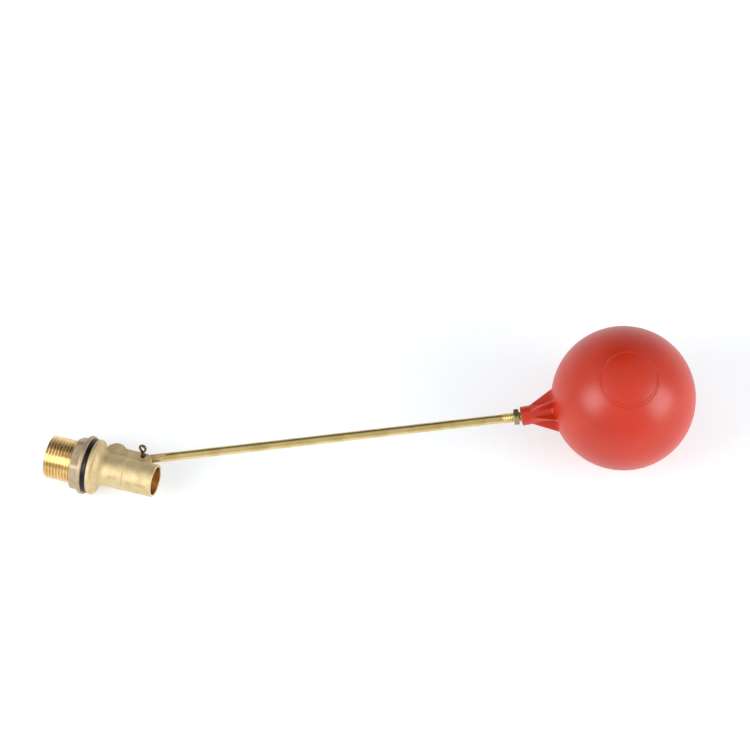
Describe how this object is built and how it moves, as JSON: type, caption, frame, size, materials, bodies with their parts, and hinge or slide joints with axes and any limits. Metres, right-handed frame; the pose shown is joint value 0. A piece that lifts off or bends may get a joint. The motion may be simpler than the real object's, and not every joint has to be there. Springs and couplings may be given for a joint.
{
  "type": "float valve",
  "caption": "Cast brass tank float valve with a threaded shank, back nut and gasket, a pivoted rod lever and a hollow red ball that works a sliding piston.",
  "frame": {"origin": "centre of the flange's sealing face, on the bore's axis, where the tank wall sits", "axes": "+X along the bore from inlet to outlet, +Y to the lever's side, +Z along the lever's pivot pin; it is drawn lying on its side, and in a tank +Y points down"},
  "size_m": [0.371, 0.1902, 0.088],
  "materials": {
    "cast_brass": "fine sand-cast skin, tumbled, satin",
    "back_nut_brass": "cast and tumbled, matte, pinkish",
    "gasket_rubber": "moulded black rubber, slight gloss",
    "turned_brass": "turned, bright",
    "seal_rubber": "moulded black rubber, matte",
    "rod_brass": "drawn, bright, fine lengthwise marks",
    "split_pin_bronze": "drawn half-round wire, darkened",
    "lock_nut_brass": "turned, tarnished grey-green",
    "red_plastic": "moulded, satin"
  },
  "bodies": {
    "valve": {"valve_body": "cast_brass", "flange_gasket": "gasket_rubber", "split_pin": "split_pin_bronze"},
    "lever": {"lever": "rod_brass", "lock_nut": "lock_nut_brass", "float_insert": "turned_brass", "float_shell": "red_plastic"},
    "piston": {"piston": "turned_brass", "piston_seal": "seal_rubber"},
    "back_nut": {"back_nut": "back_nut_brass"}
  },
  "joints": [
    {"name": "lever_hinge", "type": "hinge", "parent": "valve", "child": "lever", "pos_m": [0.0282, 0.0123, 0], "axis": [0, 0, 1], "range_deg": [-16.3, 8]},
    {"name": "piston_slide", "type": "slide", "parent": "valve", "child": "piston", "axis": [1, 0, 0], "range_m": [-0.0032, 0.00157]},
    {"name": "back_nut_travel", "type": "slide", "parent": "valve", "child": "back_nut", "axis": [-1, 0, 0], "range_m": [0, 0.014]}
  ],
  "couplings": [
    {"joint": "piston_slide", "follows": "lever_hinge", "m_per_rad": 0.011215}
  ]
}
